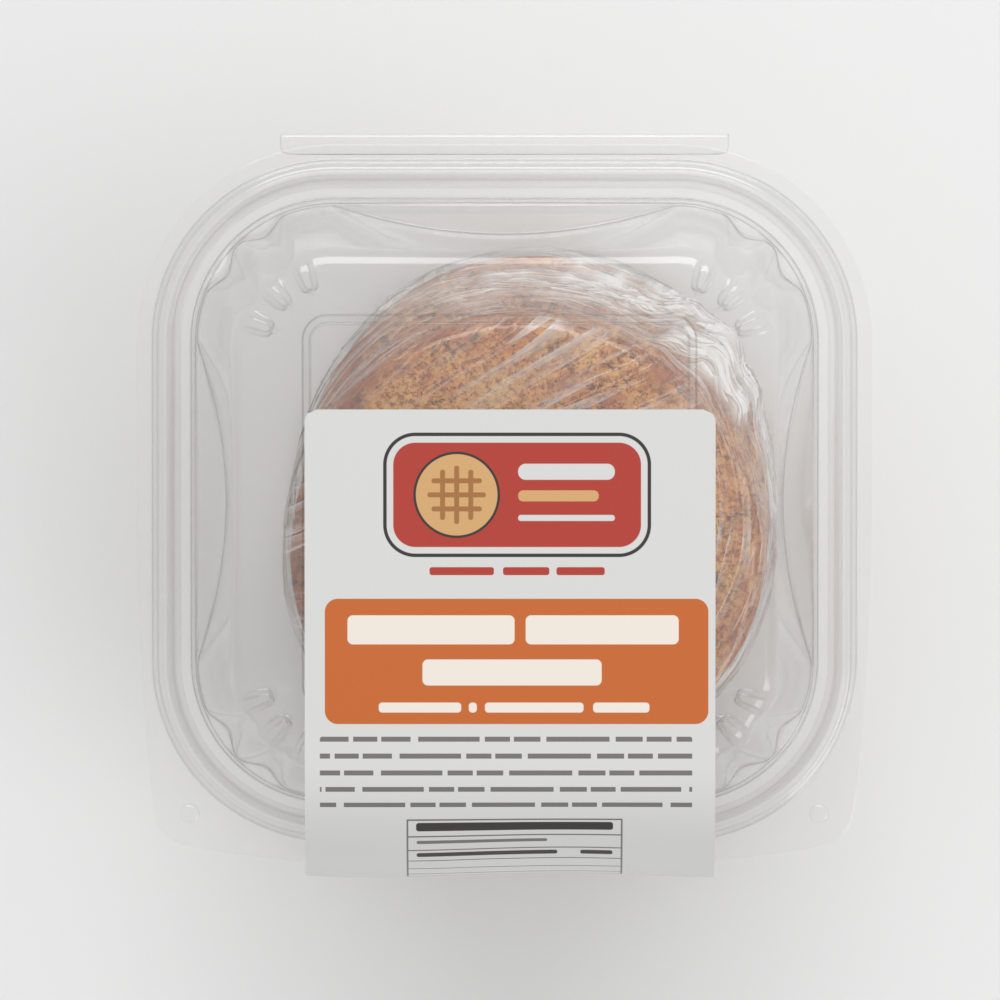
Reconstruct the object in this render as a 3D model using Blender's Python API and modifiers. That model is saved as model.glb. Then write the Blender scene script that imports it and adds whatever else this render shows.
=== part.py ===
"""A clear hinged clamshell with four film-wrapped cookies stacked in it and a paper label on its lid.

Metres, +Z up. The pack stands on its tray, the hinge is at +Y and the front, where the label hangs over, at -Y.
"""

import math

import bmesh
import bpy
from mathutils import Vector, noise

MM = 0.001

# The plan of the clamshell: every level is a rounded square that reaches out from one core rectangle
CORE_X = 34.0 * MM
CORE_Y = 32.0 * MM
RIM_CENTRE_Y = 0.95 * MM
CORNER_STEPS = 18
SIDE_STEPS = 6

# The rim
FLANGE_REACH = 39.5 * MM
FLANGE_FRONT = 74.6 * MM
SQUARE_CORNER = 14.0
SIDE_TAPER = 0.67
TAPER_FROM_Y = 5.0 * MM
FRONT_BOW = 1.13
BEAD_OUTER = 36.1 * MM
BEAD_INNER = 31.7 * MM
GROOVE_INNER = 27.9 * MM
GROOVE_SIDE = 0.8 * MM
GROOVE_RISE = 0.35 * MM
BEAD_LEAN = 0.5 * MM
BEAD_ROUND = 0.6 * MM
BEAD_EDGE = 1.2 * MM
BEAD_FOOT = 0.7 * MM
TRAY_BEAD_ROUND = 0.5 * MM
TRAY_BEAD_LEAN = 0.4 * MM
TRAY_BEAD_TOP_IN = 1.0 * MM
TRAY_BEAD_TOP_OUT = 0.8 * MM
TRAY_RIM_IN = 0.2 * MM

# The corner flutes, and the side walls' inward bow
FLUTE_FIRST = math.radians(20.0)
FLUTE_LAST = math.radians(70.0)
FLUTE_PITCH = math.radians(25.0)
FLUTE_DEPTH = 2.2 * MM
LID_BOW = 5.8 * MM

# The walls: where each one's top and foot lie, and how they turn into the shoulder and the floor
LID_WALL_FOOT = 27.3 * MM
LID_WALL_TOP = 20.4 * MM
LID_WALL_TOP_DROP = 3.0 * MM
LID_WALL_TOP_BOW = 0.4 * MM
SHOULDER_EDGE_IN = 0.8 * MM
SHOULDER_EDGE_DROP = 1.0 * MM
SHOULDER_EDGE_BOW = 0.2 * MM
SHOULDER_IN = 3.0 * MM
TRAY_WALL_TOP_OUT = 0.6 * MM
TRAY_WALL_TOP_IN = 0.1 * MM
TRAY_WALL_TOP_DROP = 0.8 * MM
TRAY_WALL_FOOT = 23.0 * MM
TRAY_WALL_FOOT_RISE = 3.0 * MM
TRAY_EDGE_IN = 1.0 * MM
TRAY_EDGE_RISE = 0.7 * MM
TRAY_FLOOR_IN = 3.0 * MM

# Heights
TRAY_FLANGE_Z = 43.4 * MM
LID_FLANGE_Z = 44.25 * MM
BEAD_HEIGHT = 3.25 * MM
LEDGE_Z = 46.9 * MM
SHOULDER_Z = 73.2 * MM
PANEL_Z = 75.6 * MM
WALL = 0.45 * MM
GAP = 0.35 * MM

# The lid's raised square, the fingers on its shoulders, and the stacking recess under the tray
PANEL_HALF_X = 37.7 * MM
PANEL_HALF_Y = 38.0 * MM
PANEL_CORNER = 3.5 * MM
PANEL_DRAFT = 1.2 * MM
PANEL_SHIFT = -1.0 * MM
FINGER_HEIGHT = 0.8 * MM
FINGER_TIP = 12.7 * MM
FINGER_HALF_ANGLE = math.radians(6.0)
FINGER_ROUND = 1.0 * MM
FOOT_Z = 0.45 * MM
RECESS_Z = 2.9 * MM
RECESS_HALF = 41.0 * MM

# The hinge at the back and the press buttons in the front corners
HINGE_HALF_WIDTH = 45.0 * MM
HINGE_Y = 73.4 * MM
HINGE_Z = 43.6 * MM
HINGE_ROOT_Y = 69.0 * MM
HINGE_LEAF = 0.58 * MM
HINGE_SHORT = 0.1 * MM
BUTTON_RADIUS = 2.0 * MM
BUTTON_HEIGHT = 1.2 * MM
BUTTON_TOP_SHARE = 0.8
BUTTON_SUNK = 0.25 * MM
BUTTON_X = 63.0 * MM
BUTTON_Y = -62.8 * MM

# The label
LABEL_HALF_WIDTH = 40.8 * MM
LABEL_SHIFT = 1.1 * MM
LABEL_BACK_Y = 20.8 * MM
LABEL_CORNER = 2.4 * MM
LABEL_TOP_Z = 76.2 * MM
LABEL_BEND_Y = -50.0 * MM
LABEL_FRONT_Y = -75.2 * MM
LABEL_END_Z = 43.7 * MM
LABEL_THICK = 0.25 * MM
LABEL_FLAT_ROWS = 10
LABEL_BEND_ROWS = 12
LABEL_COLUMNS = 6
LABEL_CORNER_SHARES = (0.0, 0.15, 0.45, 1.0)

# The cookies, lowest first: each one's place beside the rim's centre, and its radius
COOKIE_PLACES = (
    (6.2 * MM, -0.3 * MM, 47.4 * MM),
    (7.0 * MM, -5.4 * MM, 46.9 * MM),
    (6.6 * MM, -9.0 * MM, 47.0 * MM),
    (3.7 * MM, -10.8 * MM, 47.3 * MM),
)
COOKIE_FLOOR = 3.3 * MM
COOKIE_PITCH = 10.7 * MM
COOKIE_THICK = 10.2 * MM
COOKIE_SEGMENTS = 32
COOKIE_RINGS = 11
COOKIE_UNEVEN = 0.7 * MM
COOKIE_RELIEF = 0.35 * MM
EDGE_ROUNDNESS = 0.42
TOP_ROUNDNESS = 0.8
BOTTOM_ROUNDNESS = 0.5
EDGE_WAVES = 2.0
CRAG_WAVES = 5.0
SEED_STEP = 7.3
CRAG_SEED = 20

# The film
FILM_CLEAR = 0.75 * MM
FILM_THICK = 0.25 * MM
FILM_SEGMENTS = 28
FILM_EDGE = 3.0 * MM
FILM_SIDE_TUCK = 0.4 * MM
FILM_SHOULDER_DROP = 0.8 * MM
FILM_SHOULDER_IN = 4.0 * MM
FILM_TOP_IN = 10.0 * MM


def clear_scene():
    for thing in list(bpy.data.objects):
        bpy.data.objects.remove(thing, do_unlink=True)


def new_collection(name):
    collection = bpy.data.collections.new(name)
    bpy.context.scene.collection.children.link(collection)
    return collection


def material(name, colour, roughness, alpha=1.0):
    made = bpy.data.materials.new(name)
    made.use_nodes = True
    made.diffuse_color = (*colour, alpha)
    surface = made.node_tree.nodes["Principled BSDF"]
    surface.inputs["Base Color"].default_value = (*colour, 1.0)
    surface.inputs["Roughness"].default_value = roughness
    surface.inputs["Metallic"].default_value = 0.0
    surface.inputs["Alpha"].default_value = alpha
    return made


def add_object(name, mesh_data, collection, finish=None):
    """Turns a bmesh into a named object in its collection."""
    mesh = bpy.data.meshes.new(name)
    mesh_data.to_mesh(mesh)
    mesh_data.free()
    thing = bpy.data.objects.new(name, mesh)
    collection.objects.link(thing)
    if finish is not None:
        mesh.materials.append(finish)
    return thing


def shade_round(thing, sharp_angle=40.0):
    thing.data.shade_smooth()
    thing.data.set_sharp_from_angle(angle=math.radians(sharp_angle))


def flute_depth(angle, depth):
    """How far the wall steps in at this angle of a corner: two notches between three lobes."""
    if not FLUTE_FIRST < angle < FLUTE_LAST:
        return 0.0
    return depth * math.sin(math.pi * (angle - FLUTE_FIRST) / FLUTE_PITCH) ** 2


def finger_rise(angle, height):
    """The height of the three round-backed fingers, one above each lobe of a corner."""
    rise = 0.0
    for lobe in range(3):
        away = abs(angle - FLUTE_FIRST - lobe * FLUTE_PITCH)
        if away < FINGER_HALF_ANGLE:
            rise = height * math.cos(0.5 * math.pi * away / FINGER_HALF_ANGLE)
    return rise


def ring_places():
    """One entry for each point of a ring, counterclockwise from +X: its corner or side and where it is on it."""
    places = []
    for quarter in range(4):
        for step in range(CORNER_STEPS + 1):
            places.append(("corner", quarter, step / CORNER_STEPS))
        for step in range(1, SIDE_STEPS):
            places.append(("side", quarter, step / SIDE_STEPS))
    return places


def corner_centre(quarter):
    sign_x = (1.0, -1.0, -1.0, 1.0)[quarter % 4]
    sign_y = (1.0, 1.0, -1.0, -1.0)[quarter % 4]
    return Vector((sign_x * CORE_X, sign_y * CORE_Y, 0.0))


def outward(angle):
    return Vector((math.cos(angle), math.sin(angle), 0.0))


def level_ring(reach, z, flute=0.0, bow=0.0, finger=0.0):
    """One level of the shell, as points around the rim's centre."""
    points = []
    for kind, quarter, share in ring_places():
        start = corner_centre(quarter)
        if kind == "corner":
            local = share * math.pi / 2
            distance = reach - flute_depth(local, flute)
            point = start + outward(quarter * math.pi / 2 + local) * distance
            point.z = z + finger_rise(local, finger)
        else:
            end = corner_centre(quarter + 1)
            facing = outward((quarter + 1) * math.pi / 2)
            inset = bow * (1.0 - (2.0 * share - 1.0) ** 2)
            point = start.lerp(end, share) + facing * (reach - inset)
            point.z = z
        points.append(point)
    return points


def flange_ring(z, inset=0.0):
    """The rim's outer edge: round corners at the hinge, nearly square ones at the front, both sides tapering."""
    points = []
    side = FLANGE_REACH - inset
    front = FLANGE_FRONT - CORE_Y - inset
    for kind, quarter, share in ring_places():
        start = corner_centre(quarter)
        ahead = quarter >= 2
        if kind == "corner":
            angle = quarter * math.pi / 2 + share * math.pi / 2
            across, along = math.cos(angle), math.sin(angle)
            power = SQUARE_CORNER if ahead else 2.0
            size = (abs(across) ** power + abs(along) ** power) ** (-1.0 / power)
            depth = front if ahead else side
            point = start + Vector((side * size * across, depth * size * along, 0.0))
        else:
            end = corner_centre(quarter + 1)
            facing = outward((quarter + 1) * math.pi / 2)
            point = start.lerp(end, share) + facing * (front if quarter == 2 else side)
        point.z = z
        points.append(tapered(point))
    return points


def tapered(point):
    """Draws the sides in towards the front corners, and the front edge back towards them."""
    ahead = min(0.0, point.y - TAPER_FROM_Y)
    inward = SIDE_TAPER * ahead * ahead
    at_front = max(0.0, (-point.y - CORE_Y) / (FLANGE_FRONT - CORE_Y))
    back = FRONT_BOW * point.x * point.x * at_front**3
    x = point.x * (1.0 - inward / (CORE_X + FLANGE_REACH))
    return Vector((x, point.y + back, point.z))


def square_ring(half_x, half_y, corner, z, shift=0.0):
    """A rounded square with the same points as a level ring, so that the two can be joined."""
    points = []
    for kind, quarter, share in ring_places():
        sign = corner_centre(quarter)
        centre = Vector((math.copysign(half_x - corner, sign.x), math.copysign(half_y - corner, sign.y), z))
        if kind == "corner":
            point = centre + outward(quarter * math.pi / 2 + share * math.pi / 2) * corner
        else:
            sign = corner_centre(quarter + 1)
            far = Vector((math.copysign(half_x - corner, sign.x), math.copysign(half_y - corner, sign.y), z))
            point = centre.lerp(far, share) + outward((quarter + 1) * math.pi / 2) * corner
        point.x += shift
        points.append(point)
    return points


def lofted_shell(rings):
    """Joins rings from the outermost to the innermost, closes the last one, and moves the whole to its place."""
    shell = bmesh.new()
    rows = []
    for ring in rings:
        rows.append([shell.verts.new((p.x, p.y + RIM_CENTRE_Y, p.z)) for p in ring])
    count = len(rings[0])
    for outer, inner in zip(rows, rows[1:]):
        for i in range(count):
            j = (i + 1) % count
            shell.faces.new((outer[i], outer[j], inner[j], inner[i]))
    shell.faces.new(rows[-1])
    return shell


def add_wall(thing, thickness):
    wall = thing.modifiers.new("Wall", "SOLIDIFY")
    wall.thickness = thickness
    wall.offset = -1.0
    wall.use_even_offset = True


def fuse(thing, other):
    """Joins another closed solid to this one, which stays as a hidden guide."""
    other.hide_render = True
    other.display_type = "WIRE"
    join = thing.modifiers.new("Fuse " + other.name, "BOOLEAN")
    join.operation = "UNION"
    join.object = other


def box_solid(name, low, high, collection):
    """A plain block between two corners."""
    block = bmesh.new()
    bmesh.ops.create_cube(block, size=1.0)
    size = Vector(high) - Vector(low)
    bmesh.ops.scale(block, vec=size, verts=block.verts)
    bmesh.ops.translate(block, vec=(Vector(high) + Vector(low)) / 2, verts=block.verts)
    return add_object(name, block, collection)


def button_solid(name, x, collection):
    """A press button, sunk a little into the flap that it stands on."""
    button = bmesh.new()
    bmesh.ops.create_cone(
        button,
        cap_ends=True,
        segments=24,
        radius1=BUTTON_RADIUS,
        radius2=BUTTON_TOP_SHARE * BUTTON_RADIUS,
        depth=BUTTON_HEIGHT,
    )
    middle = LID_FLANGE_Z - BUTTON_SUNK + BUTTON_HEIGHT / 2
    bmesh.ops.translate(button, vec=(x, BUTTON_Y + RIM_CENTRE_Y, middle), verts=button.verts)
    return add_object(name, button, collection)


def hinge_leaf(name, low_z, high_z, collection):
    """One half of the hinge strip, ending just short of the axis."""
    back = HINGE_Y - HINGE_SHORT
    low = (-HINGE_HALF_WIDTH, HINGE_ROOT_Y + RIM_CENTRE_Y, low_z)
    high = (HINGE_HALF_WIDTH, back + RIM_CENTRE_Y, high_z)
    return box_solid(name, low, high, collection)


def lid_rings():
    """The lid's upper surface, from the rim's edge over the bead, up the wall and onto the raised square."""
    bead_top = LID_FLANGE_Z + BEAD_HEIGHT
    groove_z = LID_FLANGE_Z + GROOVE_RISE
    edge_z = SHOULDER_Z - SHOULDER_EDGE_DROP
    foot_x = PANEL_HALF_X + PANEL_DRAFT
    foot_y = PANEL_HALF_Y + PANEL_DRAFT
    return [
        flange_ring(LID_FLANGE_Z),
        level_ring(BEAD_OUTER, LID_FLANGE_Z),
        level_ring(BEAD_OUTER - BEAD_LEAN, bead_top - BEAD_ROUND),
        level_ring(BEAD_OUTER - BEAD_EDGE, bead_top),
        level_ring(BEAD_INNER + BEAD_EDGE, bead_top),
        level_ring(BEAD_INNER + BEAD_LEAN, bead_top - BEAD_ROUND),
        level_ring(BEAD_INNER - BEAD_FOOT, groove_z),
        level_ring(GROOVE_INNER + GROOVE_SIDE, groove_z),
        level_ring(GROOVE_INNER, LEDGE_Z),
        level_ring(LID_WALL_FOOT, LEDGE_Z, FLUTE_DEPTH, LID_BOW),
        level_ring(LID_WALL_TOP, SHOULDER_Z - LID_WALL_TOP_DROP, FLUTE_DEPTH * 3 / 4, LID_WALL_TOP_BOW),
        level_ring(
            LID_WALL_TOP - SHOULDER_EDGE_IN,
            edge_z,
            FLUTE_DEPTH / 2,
            SHOULDER_EDGE_BOW,
            FINGER_HEIGHT / 2,
        ),
        level_ring(LID_WALL_TOP - SHOULDER_IN, SHOULDER_Z, finger=FINGER_HEIGHT),
        level_ring(FINGER_TIP + FINGER_ROUND, SHOULDER_Z, finger=FINGER_HEIGHT),
        level_ring(FINGER_TIP, SHOULDER_Z),
        square_ring(foot_x, foot_y, PANEL_CORNER + PANEL_DRAFT, SHOULDER_Z, PANEL_SHIFT),
        square_ring(PANEL_HALF_X, PANEL_HALF_Y, PANEL_CORNER, PANEL_Z, PANEL_SHIFT),
    ]


def make_lid(parts, guides, finish):
    lid = add_object("lid", lofted_shell(lid_rings()), parts, finish)
    add_wall(lid, WALL)
    leaf_low = HINGE_Z + GAP / 2
    fuse(lid, hinge_leaf("lid_hinge_leaf", leaf_low, leaf_low + HINGE_LEAF, guides))
    fuse(lid, button_solid("button_left", -BUTTON_X, guides))
    fuse(lid, button_solid("button_right", BUTTON_X, guides))
    shade_round(lid)
    return lid


def tray_rings():
    """The tray's inner surface, from the rim's edge over the bead, down the wall and onto the floor."""
    bead_outer = BEAD_OUTER - WALL - GAP
    bead_inner = BEAD_INNER + WALL + GAP
    bead_top = TRAY_FLANGE_Z + BEAD_HEIGHT - GAP
    round_z = bead_top - TRAY_BEAD_ROUND
    recess = RECESS_HALF + PANEL_DRAFT
    return [
        flange_ring(TRAY_FLANGE_Z, TRAY_RIM_IN),
        level_ring(bead_outer, TRAY_FLANGE_Z),
        level_ring(bead_outer - TRAY_BEAD_LEAN, round_z),
        level_ring(bead_outer - TRAY_BEAD_TOP_IN, bead_top),
        level_ring(bead_inner + TRAY_BEAD_TOP_OUT, bead_top),
        level_ring(bead_inner + TRAY_BEAD_LEAN, round_z),
        level_ring(bead_inner, TRAY_FLANGE_Z),
        level_ring(GROOVE_INNER + TRAY_WALL_TOP_OUT, TRAY_FLANGE_Z),
        level_ring(GROOVE_INNER - TRAY_WALL_TOP_IN, TRAY_FLANGE_Z - TRAY_WALL_TOP_DROP, FLUTE_DEPTH),
        level_ring(TRAY_WALL_FOOT, FOOT_Z + TRAY_WALL_FOOT_RISE, FLUTE_DEPTH * 3 / 5),
        level_ring(TRAY_WALL_FOOT - TRAY_EDGE_IN, FOOT_Z + TRAY_EDGE_RISE, FLUTE_DEPTH * 2 / 5),
        level_ring(TRAY_WALL_FOOT - TRAY_FLOOR_IN, FOOT_Z),
        square_ring(recess, recess, PANEL_CORNER + PANEL_DRAFT, FOOT_Z),
        square_ring(RECESS_HALF, RECESS_HALF, PANEL_CORNER, RECESS_Z),
    ]


def make_tray(parts, guides, finish):
    tray = add_object("tray", lofted_shell(tray_rings()), parts, finish)
    add_wall(tray, WALL)
    leaf_high = HINGE_Z - GAP / 2
    fuse(tray, hinge_leaf("tray_hinge_leaf", leaf_high - HINGE_LEAF, leaf_high, guides))
    shade_round(tray)
    return tray


def label_profile():
    """The label's upper surface in side view, from its back edge to its front one: flat, then a quarter ellipse."""
    profile = []
    for row in range(LABEL_FLAT_ROWS + 1):
        share = row / LABEL_FLAT_ROWS
        profile.append((LABEL_BACK_Y + share * (LABEL_BEND_Y - LABEL_BACK_Y), LABEL_TOP_Z))
    for row in range(1, LABEL_BEND_ROWS + 1):
        angle = 0.5 * math.pi * row / LABEL_BEND_ROWS
        y = LABEL_BEND_Y + (LABEL_FRONT_Y - LABEL_BEND_Y) * math.sin(angle)
        z = LABEL_END_Z + (LABEL_TOP_Z - LABEL_END_Z) * math.cos(angle)
        profile.append((y, z))
    return profile


def label_half_width(y):
    """The half width at this distance from the label's round back corners."""
    into = LABEL_BACK_Y - y
    if into >= LABEL_CORNER:
        return LABEL_HALF_WIDTH
    short = LABEL_CORNER - into
    return LABEL_HALF_WIDTH - LABEL_CORNER + math.sqrt(LABEL_CORNER**2 - short**2)


def make_label(parts, finish):
    profile = label_profile()
    corner_rows = [(LABEL_BACK_Y - LABEL_CORNER * share, LABEL_TOP_Z) for share in LABEL_CORNER_SHARES]
    profile = corner_rows + [spot for spot in profile if spot[0] < LABEL_BACK_Y - LABEL_CORNER]
    sheet = bmesh.new()
    bmesh.ops.create_grid(sheet, x_segments=LABEL_COLUMNS, y_segments=len(profile) - 1, size=1.0)
    for vert in sheet.verts:
        row = round((1.0 - vert.co.y) / 2.0 * (len(profile) - 1))
        y, z = profile[row]
        vert.co = (LABEL_SHIFT + vert.co.x * label_half_width(y), y + RIM_CENTRE_Y, z)
    label = add_object("label", sheet, parts, finish)
    add_wall(label, LABEL_THICK)
    shade_round(label, 60.0)
    return label


def cookie_profile(latitude):
    """How far out and how high a point of the cookie lies, from its bottom (-1) to its top (1)."""
    out = math.cos(latitude * math.pi / 2)
    up = math.sin(latitude * math.pi / 2)
    roundness = BOTTOM_ROUNDNESS if up < 0 else TOP_ROUNDNESS
    height = COOKIE_THICK / 2 * math.copysign(abs(up) ** roundness, up)
    return out**EDGE_ROUNDNESS, height


def cookie_relief(direction, seed, scale):
    return noise.noise(Vector((direction.x * scale, direction.y * scale, direction.z * scale + SEED_STEP * seed)))


def make_cookie(number, parts, finish):
    """One cookie: a thick disc with a soft shoulder, an uneven edge and a gently cracked top."""
    x, y, radius = COOKIE_PLACES[number - 1]
    middle = COOKIE_FLOOR + (number - 1) * COOKIE_PITCH + COOKIE_THICK / 2
    body = bmesh.new()
    bmesh.ops.create_uvsphere(body, u_segments=COOKIE_SEGMENTS, v_segments=COOKIE_RINGS, radius=1.0)
    for vert in body.verts:
        direction = vert.co.normalized()
        latitude = math.asin(max(-1.0, min(1.0, direction.z))) / (math.pi / 2)
        reach, height = cookie_profile(latitude)
        flat = Vector((direction.x, direction.y, 0.0))
        around = flat.normalized() if flat.length > 1e-6 else Vector((0.0, 0.0, 0.0))
        edge = radius - COOKIE_UNEVEN + COOKIE_UNEVEN * cookie_relief(around, number, EDGE_WAVES)
        place = around * reach * edge
        crags = COOKIE_RELIEF * cookie_relief(place / radius, number + CRAG_SEED, CRAG_WAVES)
        lift = -abs(crags) if height > 0 else abs(crags)
        vert.co = Vector((x + place.x, y + RIM_CENTRE_Y + place.y, middle + height + lift))
    cookie = add_object(f"cookie_{number}", body, parts, finish)
    shade_round(cookie, 60.0)
    return cookie


def make_film(parts, finish):
    """The tight film: the hull of the whole stack a little larger, open underneath, with a thin wall."""
    skin = bmesh.new()
    for number, (x, y, radius) in enumerate(COOKIE_PLACES):
        low = COOKIE_FLOOR + number * COOKIE_PITCH
        top = low + COOKIE_THICK + FILM_CLEAR
        side = radius + FILM_CLEAR - FILM_SIDE_TUCK
        levels = (
            (low + FILM_EDGE, side),
            (low + COOKIE_THICK - FILM_EDGE, side),
            (top - FILM_SHOULDER_DROP, radius - FILM_SHOULDER_IN),
            (top, radius - FILM_TOP_IN),
        )
        for z, reach in levels:
            for step in range(FILM_SEGMENTS):
                spot = Vector((x, y + RIM_CENTRE_Y, z)) + outward(2 * math.pi * step / FILM_SEGMENTS) * reach
                skin.verts.new(spot)
    hull = bmesh.ops.convex_hull(skin, input=skin.verts, use_existing_faces=False)
    inside = {part for part in hull["geom_interior"] + hull["geom_unused"] if isinstance(part, bmesh.types.BMVert)}
    bmesh.ops.delete(skin, geom=list(inside), context="VERTS")
    floor_faces = [face for face in skin.faces if face.normal.z < -0.9]
    bmesh.ops.delete(skin, geom=floor_faces, context="FACES")
    film = add_object("film_wrap", skin, parts, finish)
    wall = film.modifiers.new("Wall", "SOLIDIFY")
    wall.thickness = FILM_THICK
    wall.offset = 1.0
    shade_round(film, 60.0)
    return film


def hang_on_hinge(things, parts):
    """Parents what swings with the lid to an empty on the hinge's axis."""
    pivot = bpy.data.objects.new("lid_pivot", None)
    pivot.location = (0.0, HINGE_Y + RIM_CENTRE_Y, HINGE_Z)
    parts.objects.link(pivot)
    for thing in things:
        thing.parent = pivot
        thing.matrix_parent_inverse.translation = (0.0, -HINGE_Y - RIM_CENTRE_Y, -HINGE_Z)


def main():
    clear_scene()
    parts = new_collection("cookie_pack")
    guides = new_collection("cutters")
    clear_plastic = material("clear_plastic", (0.90, 0.92, 0.93), 0.08, 0.25)
    film_plastic = material("film_plastic", (0.93, 0.93, 0.92), 0.15, 0.2)
    paper = material("label_paper", (0.86, 0.85, 0.84), 0.55)
    crumb = material("cookie_crumb", (0.55, 0.28, 0.13), 0.85)
    make_tray(parts, guides, clear_plastic)
    for number in range(1, len(COOKIE_PLACES) + 1):
        make_cookie(number, parts, crumb)
    make_film(parts, film_plastic)
    lid = make_lid(parts, guides, clear_plastic)
    label = make_label(parts, paper)
    hang_on_hinge((lid, label), parts)


main()
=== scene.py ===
# A clear clamshell of film-wrapped cookies with a paper label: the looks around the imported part
import math

import bmesh
import bpy
import numpy as np
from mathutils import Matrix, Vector, noise


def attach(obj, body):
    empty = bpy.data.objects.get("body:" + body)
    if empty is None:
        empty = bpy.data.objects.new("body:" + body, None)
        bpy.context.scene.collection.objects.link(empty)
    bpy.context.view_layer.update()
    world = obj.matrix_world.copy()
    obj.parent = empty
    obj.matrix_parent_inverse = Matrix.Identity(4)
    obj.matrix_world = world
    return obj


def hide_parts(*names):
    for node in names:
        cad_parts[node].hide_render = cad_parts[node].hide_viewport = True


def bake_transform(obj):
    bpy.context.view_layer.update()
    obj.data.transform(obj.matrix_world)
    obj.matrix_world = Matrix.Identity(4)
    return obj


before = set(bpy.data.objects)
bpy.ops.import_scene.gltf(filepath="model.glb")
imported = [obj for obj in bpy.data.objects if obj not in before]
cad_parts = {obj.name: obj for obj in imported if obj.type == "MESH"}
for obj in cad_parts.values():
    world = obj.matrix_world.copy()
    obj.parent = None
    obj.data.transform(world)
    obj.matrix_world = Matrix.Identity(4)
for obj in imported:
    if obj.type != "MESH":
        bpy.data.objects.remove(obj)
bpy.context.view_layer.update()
noise.seed_set(5)  # without a seed noise_vector takes its offsets from the clock
print("frame loaded")

mm = 0.001
rimY = 0.95  # the rim's centre, mm from the origin towards the hinge
plan = {"coreX": 34.0, "coreY": 32.0, "flange": 39.5, "front": 74.6, "squareness": 14.0, "taper": 0.00067,
        "taperFrom": 5.0, "frontBow": 0.00113, "fluteFirst": 20.0, "fluteLast": 70.0, "flutePitch": 25.0,
        "fingerHalfAngle": 6.5, "fingerFlatness": 1.7}


# small helpers for objects and nodes

def selectNothing():
    if bpy.context.object and bpy.context.object.mode != "OBJECT":
        bpy.ops.object.mode_set(mode="OBJECT")
    bpy.ops.object.select_all(action="DESELECT")


def takePiece(piece):
    selectNothing()
    piece.select_set(True)
    bpy.context.view_layer.objects.active = piece


def nameNew(name, finish):
    piece = bpy.context.object
    piece.name = name
    piece.data.name = name
    piece.data.materials.clear()
    piece.data.materials.append(finish)
    return piece


def applyModifier(piece, kind, **settings):
    modifier = piece.modifiers.new(kind.title(), kind)
    for key, value in settings.items():
        setattr(modifier, key, value)
    bpy.ops.object.modifier_apply(modifier=modifier.name)


def settle(piece, smoothAngle=None):
    # the object goes to the origin, with its place in its mesh
    takePiece(piece)
    bpy.ops.object.transform_apply(location=True, rotation=True, scale=True)
    if smoothAngle is None:
        bpy.ops.object.shade_smooth()
    else:
        bpy.ops.object.shade_smooth_by_angle(angle=math.radians(smoothAngle))


def smoothStep(value):
    value = max(0.0, min(1.0, value))
    return value * value * (3 - 2 * value)


def writeShare(piece, name, values):
    piece.data.attributes.new(name, "FLOAT", "POINT").data.foreach_set("value", values)


def newFinish(name):
    finish = bpy.data.materials.new(name)
    finish.use_nodes = True
    finish.node_tree.nodes.clear()
    return finish, finish.node_tree


def put(tree, kind, sockets=None, **settings):
    node = tree.nodes.new(kind)
    for key, value in settings.items():
        setattr(node, key, value)
    for key, value in (sockets or {}).items():
        if isinstance(value, bpy.types.NodeSocket):
            tree.links.new(value, node.inputs[key])
        else:
            node.inputs[key].default_value = value
    return node


def calc(tree, operation, *values):
    return put(tree, "ShaderNodeMath", dict(enumerate(values)), operation=operation).outputs[0]


def vectorCalc(tree, operation, *values):
    node = put(tree, "ShaderNodeVectorMath", dict(enumerate(values)), operation=operation)
    return node.outputs["Value" if operation == "LENGTH" else "Vector"]


def remap(tree, value, low, high, toLow=0.0, toHigh=1.0):
    node = put(tree, "ShaderNodeMapRange", {"Value": value, "From Min": low, "From Max": high,
                                            "To Min": toLow, "To Max": toHigh})
    return node.outputs[0]


def pointShare(tree, name):
    return put(tree, "ShaderNodeAttribute", attribute_name=name).outputs["Fac"]


def pointVector(tree, name):
    return put(tree, "ShaderNodeAttribute", attribute_name=name).outputs["Vector"]


def addNoise(tree, spot, scale, detail, roughness=0.5):
    return put(tree, "ShaderNodeTexNoise", {"Vector": spot, "Scale": scale, "Detail": detail,
                                            "Roughness": roughness})


def mixColour(tree, share, first, second, blend="MIX"):
    node = put(tree, "ShaderNodeMix", data_type="RGBA", blend_type=blend)
    for index, value in ((0, share), (6, first), (7, second)):
        if isinstance(value, bpy.types.NodeSocket):
            tree.links.new(value, node.inputs[index])
        else:
            node.inputs[index].default_value = value
    return node.outputs[2]


def glossShare(tree, straightOn, normal):
    # how much a face mirrors: alike from both sides, so the inner face of a thin wall stays clear
    facing = put(tree, "ShaderNodeLayerWeight", {"Blend": 0.5, "Normal": normal}).outputs["Facing"]
    return calc(tree, "MULTIPLY_ADD", calc(tree, "POWER", facing, 5.0), 1 - straightOn, straightOn)


def outsideOnly(tree, shader, shade):
    # the far face of each thin wall lets all through, so that a wall shines and tints once,
    # and its shadow is plain
    behind = put(tree, "ShaderNodeNewGeometry").outputs["Backfacing"]
    clear = put(tree, "ShaderNodeBsdfTransparent", {"Color": (1, 1, 1, 1)})
    seen = put(tree, "ShaderNodeMixShader", {0: behind, 1: shader, 2: clear.outputs[0]}).outputs[0]
    shadow = put(tree, "ShaderNodeLightPath").outputs["Is Shadow Ray"]
    cast = put(tree, "ShaderNodeBsdfTransparent", {"Color": shade})
    return put(tree, "ShaderNodeMixShader", {0: shadow, 1: seen, 2: cast.outputs[0]}).outputs[0]


def finishWith(tree, shader):
    put(tree, "ShaderNodeOutputMaterial", {"Surface": shader})


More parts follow.
